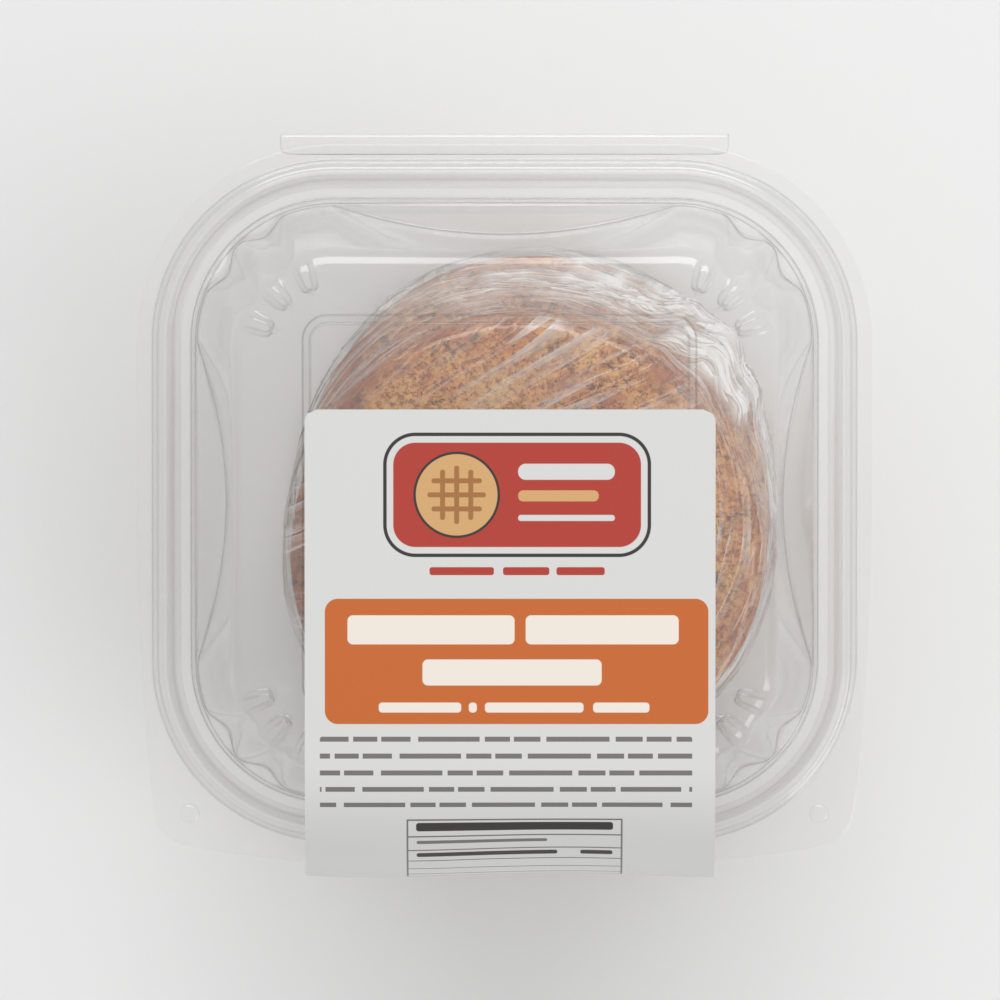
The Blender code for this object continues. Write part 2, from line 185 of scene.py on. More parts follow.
def finishGlossy(tree, body, look, bump):
    gloss = put(tree, "ShaderNodeBsdfGlossy", {"Color": (1, 1, 1, 1), "Roughness": look["roughness"],
                                               "Normal": bump})
    shine = glossShare(tree, look["shine"], bump)
    mixed = put(tree, "ShaderNodeMixShader", {0: shine, 1: body, 2: gloss.outputs[0]})
    finishWith(tree, outsideOnly(tree, mixed.outputs[0], look["shadow"]))


def rgb(red, green, blue):
    # a colour given as it looks on a screen, 0 to 255
    def straight(value):
        share = value / 255
        return share / 12.92 if share <= 0.04045 else ((share + 0.055) / 1.055) ** 2.4
    return (straight(red), straight(green), straight(blue), 1.0)


# finishes

plastic = {"tint": (0.99, 0.99, 0.985, 1.0), "edgeTint": (0.90, 0.90, 0.895, 1.0), "edgeBlend": 0.35,
           "bendTint": (0.62, 0.62, 0.62, 1.0), "shadow": (0.985, 0.985, 0.985, 1.0), "haze": 0.05,
           "hazeColour": (0.86, 0.86, 0.855, 1.0), "shine": 0.065, "roughness": 0.10, "waveScale": 17.0,
           "waveDetail": 2.0, "waveHeight": 0.22}


def makeClearPlastic():
    finish, tree = newFinish("clearPlastic")
    spot = put(tree, "ShaderNodeTexCoord").outputs["Object"]
    wave = addNoise(tree, spot, plastic["waveScale"], plastic["waveDetail"])
    bump = put(tree, "ShaderNodeBump", {"Height": wave.outputs[0], "Strength": plastic["waveHeight"],
                                        "Distance": mm})
    facing = put(tree, "ShaderNodeLayerWeight", {"Blend": plastic["edgeBlend"]}).outputs["Facing"]
    tint = mixColour(tree, facing, plastic["tint"], plastic["edgeTint"])
    # a tight bend sends light aside, which draws it as a thin grey line
    tint = mixColour(tree, pointShare(tree, "bend"), tint, plastic["bendTint"])
    through = put(tree, "ShaderNodeBsdfTransparent", {"Color": tint})
    haze = put(tree, "ShaderNodeBsdfDiffuse", {"Color": plastic["hazeColour"]})
    body = put(tree, "ShaderNodeMixShader", {0: plastic["haze"], 1: through.outputs[0], 2: haze.outputs[0]})
    finishGlossy(tree, body.outputs[0], plastic, bump.outputs[0])
    return finish


filmLook = {"tint": (0.985, 0.985, 0.98, 1.0), "edgeTint": (0.965, 0.965, 0.96, 1.0), "edgeBlend": 0.4,
            "shadow": (0.96, 0.96, 0.955, 1.0), "milk": (0.90, 0.895, 0.885, 1.0), "shine": 0.06,
            "roughness": 0.17, "bump": 0.55,
            # streaks: scales along the flow and across it (per mm), place in the noise, folds, sharpness
            "broad": ((0.008, 0.13), 3.1, 5.0, 3.0), "fine": ((0.014, 0.55), 8.4, 4.0, 7.0),
            "side": ((0.013, 0.34), 5.7, 6.0, 3.5), "gather": ((0.035, 0.42), 1.9, 6.0, 1.2),
            "streakDetail": 2.0, "streakRoughness": 0.45,
            # the broad streaks show in patches only
            "patchScale": (0.03, 0.06), "patchDetail": 1.0, "patchRange": (0.40, 0.56),
            # how milky each kind is, for the last two with what lies between the streaks; on the top the
            # broad and fine streaks stand partly for creased film and partly for painted highlights along its
            # wrinkles
            "broadMilkAndHighlight": 0.48, "fineMilkAndHighlight": 0.26, "sideMilk": (0.50, 0.02), "gatherMilk": (0.70, 0.50),
            "leastMilk": 0.02, "mostMilk": 0.93}


def flowStreaks(tree, name, scale, seed, folds, edge):
    # long streaks along a flow: each fold is sharp on one side and fades to the other
    placed = put(tree, "ShaderNodeMapping", {"Vector": pointVector(tree, name), "Scale": (*scale, 1.0),
                                             "Location": (seed, seed * 2.3, seed * 0.7)})
    wave = addNoise(tree, placed.outputs[0], 1.0, filmLook["streakDetail"], filmLook["streakRoughness"])
    fold = calc(tree, "FRACT", calc(tree, "MULTIPLY", wave.outputs[0], folds))
    return calc(tree, "POWER", fold, edge)


def makeFilmPlastic():
    finish, tree = newFinish("filmPlastic")
    look = filmLook
    patch = put(tree, "ShaderNodeMapping", {"Vector": pointVector(tree, "fanFlow"),
                                            "Scale": (*look["patchScale"], 1.0)})
    patch = addNoise(tree, patch.outputs[0], 1.0, look["patchDetail"]).outputs[0]
    patch = remap(tree, patch, *look["patchRange"])
    # the top's streaks: milky creases together with painted highlights along the wrinkles
    broad = calc(tree, "MULTIPLY", flowStreaks(tree, "fanFlow", *look["broad"]), patch)
    fine = flowStreaks(tree, "fanFlow", *look["fine"])
    onTop = calc(tree, "ADD", calc(tree, "MULTIPLY", broad, look["broadMilkAndHighlight"]),
                 calc(tree, "MULTIPLY", fine, look["fineMilkAndHighlight"]))
    milk = calc(tree, "MULTIPLY_ADD", pointShare(tree, "filmTop"), onTop, look["leastMilk"])
    for kind, attribute in (("side", "filmSide"), ("gather", "filmGather")):
        streaks = flowStreaks(tree, kind + "Flow", *look[kind])
        milky = calc(tree, "MULTIPLY_ADD", streaks, *look[kind + "Milk"])
        milk = calc(tree, "ADD", milk, calc(tree, "MULTIPLY", pointShare(tree, attribute), milky))
    milk = calc(tree, "MINIMUM", milk, look["mostMilk"])
    bump = put(tree, "ShaderNodeBump", {"Height": milk, "Strength": look["bump"], "Distance": 0.8 * mm})
    facing = put(tree, "ShaderNodeLayerWeight", {"Blend": look["edgeBlend"]}).outputs["Facing"]
    tint = mixColour(tree, facing, look["tint"], look["edgeTint"])
    through = put(tree, "ShaderNodeBsdfTransparent", {"Color": tint})
    white = put(tree, "ShaderNodeBsdfDiffuse", {"Color": look["milk"], "Normal": bump.outputs[0]})
    body = put(tree, "ShaderNodeMixShader", {0: milk, 1: through.outputs[0], 2: white.outputs[0]})
    finishGlossy(tree, body.outputs[0], look, bump.outputs[0])
    return finish


crumbLook = {"pale": rgb(255, 202, 128), "tan": rgb(240, 158, 86), "baked": rgb(184, 100, 48),
             "deep": rgb(108, 56, 28), "roughness": 0.82, "bump": 0.9,
             # noises as scale, detail and roughness, cells as a scale
             "blotch": (70.0, 5.0, 0.65), "grain": (700.0, 5.0, 0.75), "fleck": (1300.0, 2.0, 0.6),
             "pull": (160.0, 3.0), "pullReach": 0.007, "lineSpots": (110.0, 3.0, 0.7), "specks": 380.0,
             "lineCells": 150.0,
             # the values between which each mark goes from none to full, or to the amounts after them
             "paleRange": (0.40, 0.60), "darkRange": (0.45, 0.33, 0.0, 0.7), "grainRange": (0.47, 0.60),
             "fleckRange": (0.56, 0.66), "fleckSpots": (0.58, 0.42, 0.25, 1.0),
             "speckRange": (0.30, 0.10, 0.0, 0.4), "lineRange": (0.075, 0.0), "lineSpotRange": (0.50, 0.60),
             "lineBreaks": (0.44, 0.58),
             # how dark each mark is, and how high
             "fleckShade": 0.9, "crackShade": 0.65, "lineShade": 0.6, "speckHeight": -0.6, "lineHeight": -1.2}


def makeCookieCrumb():
    finish, tree = newFinish("cookieCrumb")
    look = crumbLook
    spot = put(tree, "ShaderNodeTexCoord").outputs["Object"]
    blotch = addNoise(tree, spot, *look["blotch"]).outputs[0]
    grain = addNoise(tree, spot, *look["grain"]).outputs[0]
    speck = put(tree, "ShaderNodeTexVoronoi", {"Vector": spot, "Scale": look["specks"]}).outputs["Distance"]
    # thin broken lines at the edges of cells that noise pulls about, drawn darker and lower: partly their own
    # colour, partly painted shade in the groove
    pull = addNoise(tree, spot, *look["pull"]).outputs["Color"]
    pulled = vectorCalc(tree, "MULTIPLY", pull, (look["pullReach"],) * 3)
    split = put(tree, "ShaderNodeTexVoronoi", {"Vector": vectorCalc(tree, "ADD", spot, pulled),
                                               "Scale": look["lineCells"]}, feature="DISTANCE_TO_EDGE")
    lineSpots = remap(tree, addNoise(tree, spot, *look["lineSpots"]).outputs[0], *look["lineSpotRange"])
    line = calc(tree, "MULTIPLY", remap(tree, split.outputs["Distance"], *look["lineRange"]), lineSpots)
    line = calc(tree, "MULTIPLY", line, remap(tree, grain, *look["lineBreaks"]))
    fleck = remap(tree, addNoise(tree, spot, *look["fleck"]).outputs[0], *look["fleckRange"])
    fleck = calc(tree, "MULTIPLY", fleck, remap(tree, blotch, *look["fleckSpots"]))
    colour = mixColour(tree, remap(tree, blotch, *look["paleRange"]), look["tan"], look["pale"])
    colour = mixColour(tree, remap(tree, blotch, *look["darkRange"]), colour, look["baked"])
    colour = mixColour(tree, remap(tree, grain, *look["grainRange"]), colour, look["baked"])
    colour = mixColour(tree, calc(tree, "MULTIPLY", fleck, look["fleckShade"]), colour, look["deep"])
    colour = mixColour(tree, remap(tree, speck, *look["speckRange"]), colour, look["pale"])
    # the bake share holds the baked edge and lower sides, and a painted shade on the left flank
    colour = mixColour(tree, pointShare(tree, "bake"), colour, look["baked"])
    # the crack share darkens cracks and pits, partly their own colour and partly painted shade in the
    # recesses, and adds the left flank's painted shade
    crack = calc(tree, "MULTIPLY", pointShare(tree, "crack"), look["crackShade"])
    colour = mixColour(tree, crack, colour, look["deep"])
    colour = mixColour(tree, calc(tree, "MULTIPLY", line, look["lineShade"]), colour, look["deep"])
    height = calc(tree, "MULTIPLY_ADD", speck, look["speckHeight"], grain)
    height = calc(tree, "MULTIPLY_ADD", line, look["lineHeight"], height)
    bump = put(tree, "ShaderNodeBump", {"Height": height, "Strength": look["bump"], "Distance": 0.8 * mm})
    surface = put(tree, "ShaderNodeBsdfPrincipled", {"Base Color": colour, "Roughness": look["roughness"],
                                                     "Normal": bump.outputs[0]})
    finishWith(tree, surface.outputs[0])
    return finish


clearPlastic = makeClearPlastic()
filmPlastic = makeFilmPlastic()
cookieCrumb = makeCookieCrumb()
print("finishes made")


# the clamshell's two shells, grown ring by ring from a circle

def ringPlaces(steps):
    # one entry for each point, counterclockwise from +X: corner or side, which one, and how far along it
    cornerSteps, sideSteps = steps
    places = []
    for quarter in range(4):
        places += [("corner", quarter, step / cornerSteps) for step in range(cornerSteps + 1)]
        places += [("side", quarter, step / sideSteps) for step in range(1, sideSteps)]
    return places


def cornerCentre(quarter):
    signX = (1, -1, -1, 1)[quarter % 4]
    signY = (1, 1, -1, -1)[quarter % 4]
    return Vector((signX * plan["coreX"], signY * plan["coreY"], 0))


def outward(degrees):
    return Vector((math.cos(math.radians(degrees)), math.sin(math.radians(degrees)), 0))


def levelRing(steps, reach, z, flute=0.0, bow=0.0, finger=0.0, ribWidth=1.0):
    # a ring at one height, with flutes and ribs in its corners and its sides bowed inwards
    ring = []
    first, pitch = plan["fluteFirst"], plan["flutePitch"]
    for kind, quarter, share in ringPlaces(steps):
        start = cornerCentre(quarter)
        if kind == "corner":
            local = share * 90
            depth = 0.0
            if first < local < plan["fluteLast"]:
                depth = flute * math.sin(math.pi * (local - first) / pitch) ** 2
            rise = 0.0
            for lobe in range(3):
                away = abs(local - first - lobe * pitch) / (plan["fingerHalfAngle"] * ribWidth)
                if away < 1:
                    rise = finger * min(1.0, plan["fingerFlatness"] * math.cos(0.5 * math.pi * away))
            point = start + outward(quarter * 90 + local) * (reach - depth)
            point.z = z + rise
        else:
            inset = bow * (1 - (2 * share - 1) ** 2)
            facing = outward((quarter + 1) * 90)
            point = start.lerp(cornerCentre(quarter + 1), share) + facing * (reach - inset)
            point.z = z
        ring.append(point)
    return ring


def flangeRing(steps, z, inset=0.0):
    # round corners at the hinge, nearly square ones at the front, both sides tapering
    ring = []
    side = plan["flange"] - inset
    front = plan["front"] - plan["coreY"] - inset
    for kind, quarter, share in ringPlaces(steps):
        start = cornerCentre(quarter)
        if kind == "corner":
            angle = math.radians(90 * (quarter + share))
            across, along = math.cos(angle), math.sin(angle)
            power = plan["squareness"] if quarter >= 2 else 2.0
            size = (abs(across) ** power + abs(along) ** power) ** (-1 / power)
            reach = front if quarter >= 2 else side
            point = start + Vector((side * size * across, reach * size * along, 0))
        else:
            reach = front if quarter == 2 else side
            point = start.lerp(cornerCentre(quarter + 1), share) + outward((quarter + 1) * 90) * reach
        ahead = min(0.0, point.y - plan["taperFrom"])
        atFront = max(0.0, (-point.y - plan["coreY"]) / (plan["front"] - plan["coreY"]))
        back = plan["frontBow"] * point.x**2 * atFront**3
        narrow = 1 - plan["taper"] * ahead**2 / (plan["coreX"] + plan["flange"])
        ring.append(Vector((point.x * narrow, point.y + back, z)))
    return ring


def squareRing(steps, halfX, halfY, corner, z, shiftX=0.0):
    ring = []
    for kind, quarter, share in ringPlaces(steps):
        ends = []
        for side in (quarter, quarter + 1):
            centre = cornerCentre(side)
            spotX = math.copysign(halfX - corner, centre.x) + shiftX
            ends.append(Vector((spotX, math.copysign(halfY - corner, centre.y), z)))
        if kind == "corner":
            ring.append(ends[0] + outward(90 * (quarter + share)) * corner)
        else:
            ring.append(ends[0].lerp(ends[1], share) + outward((quarter + 1) * 90) * corner)
    return ring


def putRing(piece, ring):
    mesh = bmesh.from_edit_mesh(piece.data)
    place = mesh.verts.layers.int["place"]
    for vert in mesh.verts:
        if vert.select:
            spot = ring[vert[place]]
            vert.co = (spot.x * mm, (spot.y + rimY) * mm, spot.z * mm)
    bmesh.update_edit_mesh(piece.data)


# face widths in mm, bends in radians per mm
bendMarks = {"widest": 4.0, "narrowest": 0.12, "from": 0.45, "range": 1.8}


def markBends(piece):
    # how tightly the sheet bends at each point, from 0 on the flat to 1 at a radius of half a millimetre
    mesh = bmesh.new()
    mesh.from_mesh(piece.data)
    widest = bendMarks["widest"] * mm
    bends = []
    for vert in mesh.verts:
        tightest = 0.0
        for edge in vert.link_edges:
            if len(edge.link_faces) == 2:
                widths = [min(face.calc_area() / edge.calc_length(), widest) for face in edge.link_faces]
                bend = edge.calc_face_angle(0.0) / max(sum(widths) / 2 / mm, bendMarks["narrowest"])
                tightest = max(tightest, bend)
        bends.append(smoothStep((tightest - bendMarks["from"]) / bendMarks["range"]))
    mesh.free()
    writeShare(piece, "bend", bends)


def growShell(name, rings, finish, wall, smoothing):
    selectNothing()
    bpy.ops.mesh.primitive_circle_add(vertices=len(rings[0]), radius=0.05, location=(0, 0, 0))
    piece = nameNew(name, finish)
    place = piece.data.attributes.new("place", "INT", "POINT")
    place.data.foreach_set("value", list(range(len(rings[0]))))
    bpy.ops.object.mode_set(mode="EDIT")
    bpy.ops.mesh.select_all(action="SELECT")
    putRing(piece, rings[0])
    for ring in rings[1:]:
        bpy.ops.mesh.extrude_region_move()
        putRing(piece, ring)
    bpy.ops.object.mode_set(mode="OBJECT")
    # smoothed while it is open, because a cap of some hundred sides is slow to subdivide
    applyModifier(piece, "SUBSURF", levels=smoothing, render_levels=smoothing)
    bpy.ops.object.mode_set(mode="EDIT")
    mesh = bmesh.from_edit_mesh(piece.data)
    edgeReach = 0.6 * plan["front"] * mm  # only the inner loop is capped: the rim's stays open
    for edge in mesh.edges:
        middle = (edge.verts[0].co + edge.verts[1].co) / 2
        edge.select = edge.is_boundary and max(abs(middle.x), abs(middle.y - rimY * mm)) < edgeReach
    bmesh.update_edit_mesh(piece.data)
    bpy.ops.mesh.edge_face_add()
    bpy.ops.mesh.select_all(action="SELECT")
    bpy.ops.mesh.normals_make_consistent(inside=False)
    bpy.ops.object.mode_set(mode="OBJECT")
    cap = max(piece.data.polygons, key=lambda face: face.area)
    if cap.normal.z < 0:
        bpy.ops.object.mode_set(mode="EDIT")
        bpy.ops.mesh.flip_normals()
        bpy.ops.object.mode_set(mode="OBJECT")
    markBends(piece)
    applyModifier(piece, "SOLIDIFY", thickness=wall * mm, offset=-1.0, use_even_offset=True)
    settle(piece)
    return piece


lidShape = {"steps": (45, 10), "wall": 0.45, "flangeZ": 44.25, "beadTop": 47.5, "ledgeZ": 46.9,
            "shoulderZ": 73.2, "panelZ": 75.6, "panel": (37.7, 38.0, 3.5), "panelDraft": 1.2,
            "panelShift": -1.0, "flute": 2.2, "bow": 5.8, "finger": 1.15}


def makeLid():
    lid = lidShape
    steps = lid["steps"]
    flat, bead, ledge, top = lid["flangeZ"], lid["beadTop"], lid["ledgeZ"], lid["shoulderZ"]
    flute, bow, finger = lid["flute"], lid["bow"], lid["finger"]
    halfX, halfY, corner = lid["panel"]
    draft, shift = lid["panelDraft"], lid["panelShift"]

    def level(*values, **more):
        return levelRing(steps, *values, **more)

    def square(grow, z):
        return squareRing(steps, halfX + grow, halfY + grow, max(corner + grow, 1.2), z, shift)

    rings = [
        # rim
        flangeRing(steps, flat), flangeRing(steps, flat, 0.5), level(37.0, flat),
        # bead
        level(36.3, flat), level(35.95, flat + 0.6), level(35.65, bead - 0.9), level(35.3, bead - 0.25),
        level(34.7, bead), level(33.1, bead), level(32.5, bead - 0.25), level(32.1, bead - 0.9),
        level(31.4, flat + 0.9), level(30.9, flat + 0.35),
        # groove
        level(30.2, flat + 0.3), level(29.2, flat + 0.3), level(28.65, flat + 0.32),
        level(28.45, flat + 0.5), level(28.2, flat + 1.3), level(27.95, ledge - 0.35),
        # ledge and fluted wall
        level(27.7, ledge), level(27.4, ledge, 0.9 * flute, 0.93 * bow),
        level(27.25, ledge + 0.15, flute, bow), level(27.0, ledge + 0.9, flute, 0.97 * bow),
        level(23.9, 58.5, 0.9 * flute, 0.55 * bow), level(20.7, top - 4.0, 0.75 * flute, 0.4),
        # shoulder with its ribs
        level(20.35, top - 2.7, 0.7 * flute, 0.3), level(19.9, top - 1.7, 0.55 * flute, 0.2, 0.3 * finger),
        level(19.1, top - 1.05, 0.3 * flute, 0.1, 0.6 * finger),
        level(18.0, top - 0.55, 0.15 * flute, 0.0, 0.9 * finger), level(16.4, top - 0.12, finger=finger),
        level(14.2, top, finger=finger), level(13.6, top, finger=finger, ribWidth=0.85),
        level(13.2, top, finger=0.9 * finger, ribWidth=0.6),
        level(12.95, top, finger=0.4 * finger, ribWidth=0.35), level(12.7, top),
        # raised square
        square(draft + 0.6, top), square(draft + 0.15, top), square(draft, top + 0.12),
        square(0.12, lid["panelZ"] - 0.15), square(-0.08, lid["panelZ"]), square(-0.6, lid["panelZ"]),
        square(-15, lid["panelZ"]),
    ]
    piece = growShell("lidShell", rings, clearPlastic, lid["wall"], 1)
    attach(piece, "lid_body")
    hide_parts("lid")


trayShape = {"steps": (30, 8), "wall": 0.45, "flangeZ": 43.4, "beadTop": 46.3, "footZ": 0.45, "recessZ": 2.9,
             "recess": 41.0, "flute": 2.2}


def makeTray():
    tray = trayShape
    steps = tray["steps"]
    flat, bead, foot, flute = tray["flangeZ"], tray["beadTop"], tray["footZ"], tray["flute"]

    def level(*values, **more):
        return levelRing(steps, *values, **more)

    def square(grow, z):
        half = tray["recess"] + grow
        return squareRing(steps, half, half, 3.5 + max(grow, -1.5), z)

    rings = [
        # rim and bead
        flangeRing(steps, flat, 0.2), flangeRing(steps, flat, 0.7),
        level(35.5, flat), level(35.1, flat + 0.5), level(34.85, bead - 0.6), level(34.3, bead),
        level(33.3, bead), level(32.9, bead - 0.6), level(32.6, flat + 0.5), level(32.2, flat),
        # fluted wall and foot
        level(28.9, flat), level(28.1, flat - 0.2), level(27.8, flat - 0.9, flute),
        level(27.5, flat - 2.2, flute), level(25.2, 22.0, 0.8 * flute),
        level(23.1, foot + 3.6, 0.6 * flute), level(22.7, foot + 1.8, 0.5 * flute),
        level(21.8, foot + 0.5, 0.35 * flute), level(20.2, foot),
        # recess
        square(3.6, foot), square(2.6, foot + 0.06), square(-6.4, tray["recessZ"] - 0.06),
        square(-7.4, tray["recessZ"]), square(-14, tray["recessZ"]),
    ]
    piece = growShell("trayShell", rings, clearPlastic, tray["wall"], 1)
    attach(piece, "tray_body")
    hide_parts("tray")


makeLid()
makeTray()
print("shells made")


# the hinge strip folded between them, and the two press buttons

hinge = {"halfWidth": 45.0, "y": 73.4, "z": 43.6, "wall": 0.4, "cuts": 23,
         # from the lid's rim round the fold to the tray's: how far behind the axis and above it
         "fold": [(-4.2, 0.55), (-1.4, 0.52), (-0.55, 0.46), (-0.12, 0.26), (0.0, 0.0), (-0.12, -0.24),
                  (-0.55, -0.34), (-1.4, -0.36), (-4.2, -0.37)]}


def makeHinge():
    selectNothing()
    start = hinge["fold"][0]
    bpy.ops.mesh.primitive_plane_add(size=1, location=(0, 0, 0))
    piece = nameNew("hingeStrip", clearPlastic)
    bpy.ops.object.mode_set(mode="EDIT")
    bpy.ops.mesh.delete(type="ONLY_FACE")
    mesh = bmesh.from_edit_mesh(piece.data)
    for vert in [vert for vert in mesh.verts if vert.co.y < 0]:
        mesh.verts.remove(vert)
    for vert in mesh.verts:
        side = math.copysign(hinge["halfWidth"], vert.co.x)
        vert.co = (side * mm, (hinge["y"] + rimY + start[0]) * mm, (hinge["z"] + start[1]) * mm)
    bmesh.update_edit_mesh(piece.data)
    bpy.ops.mesh.select_all(action="SELECT")
    bpy.ops.mesh.subdivide(number_cuts=hinge["cuts"])
    for before, after in zip(hinge["fold"], hinge["fold"][1:]):
        step = (0, (after[0] - before[0]) * mm, (after[1] - before[1]) * mm)
        bpy.ops.mesh.extrude_region_move(TRANSFORM_OT_translate={"value": step})
    bpy.ops.mesh.select_all(action="SELECT")
    bpy.ops.mesh.normals_make_consistent(inside=False)
    bpy.ops.object.mode_set(mode="OBJECT")
    applyModifier(piece, "SOLIDIFY", thickness=hinge["wall"] * mm, offset=0.0)
    applyModifier(piece, "SUBSURF", levels=1, render_levels=1)
    settle(piece)
    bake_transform(piece)


buttons = {"x": 63.0, "y": -62.8, "radius": 2.0, "rise": 0.95, "wallShare": 0.55,
           # mm inwards and share of the rise for each round inset, then the dish in the middle in mm
           "insets": [(0.35, 0.3), (0.6, 0.15)], "dish": (0.5, -0.12)}


def makeButton(name, side):
    selectNothing()
    spot = (side * buttons["x"] * mm, (buttons["y"] + rimY) * mm, (lidShape["flangeZ"] + 0.02) * mm)
    bpy.ops.mesh.primitive_circle_add(vertices=32, radius=buttons["radius"] * mm, fill_type="NGON",
                                      location=spot)
    piece = nameNew(name, clearPlastic)
    bpy.ops.object.mode_set(mode="EDIT")
    bpy.ops.mesh.select_all(action="SELECT")
    wall = buttons["wallShare"] * buttons["rise"] * mm
    bpy.ops.mesh.extrude_region_move(TRANSFORM_OT_translate={"value": (0, 0, wall)})
    for inwards, share in buttons["insets"]:
        bpy.ops.mesh.inset(thickness=inwards * mm, depth=share * buttons["rise"] * mm)
    bpy.ops.mesh.inset(thickness=buttons["dish"][0] * mm, depth=buttons["dish"][1] * mm)
    bpy.ops.object.mode_set(mode="OBJECT")
    applyModifier(piece, "SUBSURF", levels=2, render_levels=2)
    settle(piece)
    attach(piece, "lid_body")


makeHinge()
makeButton("buttonLeft", -1)
makeButton("buttonRight", 1)
print("hinge and buttons made")


# the cookies

cookies = {"places": [(6.2, -0.3, 47.4), (7.0, -5.4, 46.9), (6.6, -9.0, 47.0), (3.7, -10.8, 47.3)],
           "floor": 3.3, "pitch": 10.7, "thick": 10.2, "sides": 96, "bevel": (3.6, 6),
           "voxel": [0.85, 0.85, 0.62, 0.55], "dome": 1.5, "sag": 0.5, "keptEdge": 0.45,
           # waves round the edge: height in mm, how many, and the shift from cookie to cookie
           "edgeWaves": [(1.1, 1.7, 3.1), (0.7, 6, 7.7)],
           "crackSize": 7.0, "crackDepth": 0.7, "crackWidth": 0.12, "lumpSize": 2.4, "lumpDepth": 0.5,
           "fineDepth": 0.3, "sideDepth": 0.35,
           # how noise pulls the cracks about: scale per mm and reach in mm
           "pulls": [(0.11, 3.0), (0.4, 0.8)],
           # the edge is baked darker, and the left flank gets a painted shade besides, both in shares of the
           # radius
           "bakedFrom": (0.86, 0.13), "shadedLeftFrom": (0.45, 0.4)}


def addDisc(number, clear, deeper, bevel, segments):
    # a round slab at this cookie's place, both rims rounded
    x, y, radius = cookies["places"][number - 1]
    middle = cookies["floor"] + (number - 1) * cookies["pitch"] + cookies["thick"] / 2
    bpy.ops.mesh.primitive_cylinder_add(vertices=cookies["sides"], radius=(radius + clear) * mm,
                                        depth=(cookies["thick"] + deeper) * mm,
                                        location=(x * mm, (y + rimY) * mm, middle * mm))
    disc = bpy.context.object
    bpy.ops.object.mode_set(mode="EDIT")
    bpy.ops.mesh.select_all(action="DESELECT")
    mesh = bmesh.from_edit_mesh(disc.data)
    for edge in mesh.edges:
        edge.select = all(vert.co.z > 0 for vert in edge.verts) or all(vert.co.z < 0 for vert in edge.verts)
    bmesh.update_edit_mesh(disc.data)
    bpy.ops.mesh.bevel(offset=bevel * mm, segments=segments, affect="EDGES")
    bpy.ops.object.mode_set(mode="OBJECT")
    return Vector((x, y + rimY, middle)), radius


def crumbDepth(spot, seed):
    # how deep the crust lies below the cookie's full size here, and how much darker it is there: cracks and
    # the low ground between lumps, partly their own colour and partly painted shade in the recesses
    shift = Vector((seed * 31.7, seed * 17.3, seed * 5.9))
    warped = spot
    for scale, reach in cookies["pulls"]:
        warped = warped + noise.noise_vector(spot * scale + shift) * reach
    near = noise.voronoi((warped + shift) / cookies["crackSize"])[0]
    broken = smoothStep(3.0 * noise.noise(spot * 0.13 + shift) - 0.1)
    crack = smoothStep(1 - (near[1] - near[0]) / cookies["crackWidth"]) * broken
    lump = noise.voronoi((spot + shift + noise.noise_vector(spot * 0.6) * 0.7) / cookies["lumpSize"])[0]
    lumps = smoothStep(lump[0] * 1.15)
    rough = 0.5 + 0.5 * noise.fractal((spot + shift) * 0.8, 0.9, 2.1, 4)
    depth = crack * cookies["crackDepth"] + lumps * cookies["lumpDepth"] * (0.4 + 0.6 * rough)
    return depth + rough * cookies["fineDepth"], 0.55 * crack + 0.3 * lumps * rough


def makeCookie(number):
    selectNothing()
    centre, radius = addDisc(number, 0, 0, *cookies["bevel"])
    piece = nameNew(f"cookie{number}", cookieCrumb)
    settle(piece)
    applyModifier(piece, "REMESH", mode="VOXEL", voxel_size=cookies["voxel"][number - 1] * mm,
                  use_smooth_shade=True)
    crustCookie(piece, number, centre, radius)
    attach(piece, "tray_body")
    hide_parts(f"cookie_{number}")


def edgeWave(out, number):
    # how far the edge lies in from the full radius, in this direction
    wave = 0.0
    for height, turns, place in cookies["edgeWaves"]:
        wave += height * (0.5 + 0.5 * noise.noise(out.normalized() * turns + Vector((0, 0, number * place))))
    return wave


def crustCookie(piece, number, centre, radius):
    points = piece.data.vertices
    normals = [Vector(point.normal) for point in points]
    bakedFrom, bakedRange = cookies["bakedFrom"]
    shadedLeftFrom, shadedLeftRange = cookies["shadedLeftFrom"]
    cracksAndShade, bakesAndShade = [], []
    for point, normal in zip(points, normals):
        spot = point.co / mm - centre
        out = Vector((spot.x, spot.y, 0))
        share = out.length / radius
        depth, crack = crumbDepth(spot, number)
        top = smoothStep((spot.z + 1) / 4)
        moved = point.co / mm - normal * depth * (cookies["sideDepth"] + (1 - cookies["sideDepth"]) * top)
        moved -= out.normalized() * (edgeWave(out, number) - cookies["keptEdge"]) * share**4
        moved.z -= cookies["dome"] * top * share**5
        moved.z -= cookies["sag"] * top * (0.5 + 0.5 * noise.noise(spot * 0.045 + Vector((number, 0, 0))))
        point.co = moved * mm
        atEdge = smoothStep((share - bakedFrom) / bakedRange)
        # painted shade: the left flank, on the side away from the light, is darkened in both the bake and the
        # crack share
        left = smoothStep((-out.x / radius - shadedLeftFrom) / shadedLeftRange)
        bake = 0.75 * atEdge * (0.6 + noise.noise(spot * 0.2)) + 0.5 * (1 - top)
        bakesAndShade.append(min(1.0, bake + 0.5 * left * atEdge))
        cracksAndShade.append(min(1.0, min(1.0, crack) + 0.6 * left * atEdge))
    writeShare(piece, "crack", cracksAndShade)
    writeShare(piece, "bake", bakesAndShade)
    piece.data.update()


for cookieNumber in range(1, 5):
    makeCookie(cookieNumber)
    print("cookie", cookieNumber, "made")


# the film round the stack

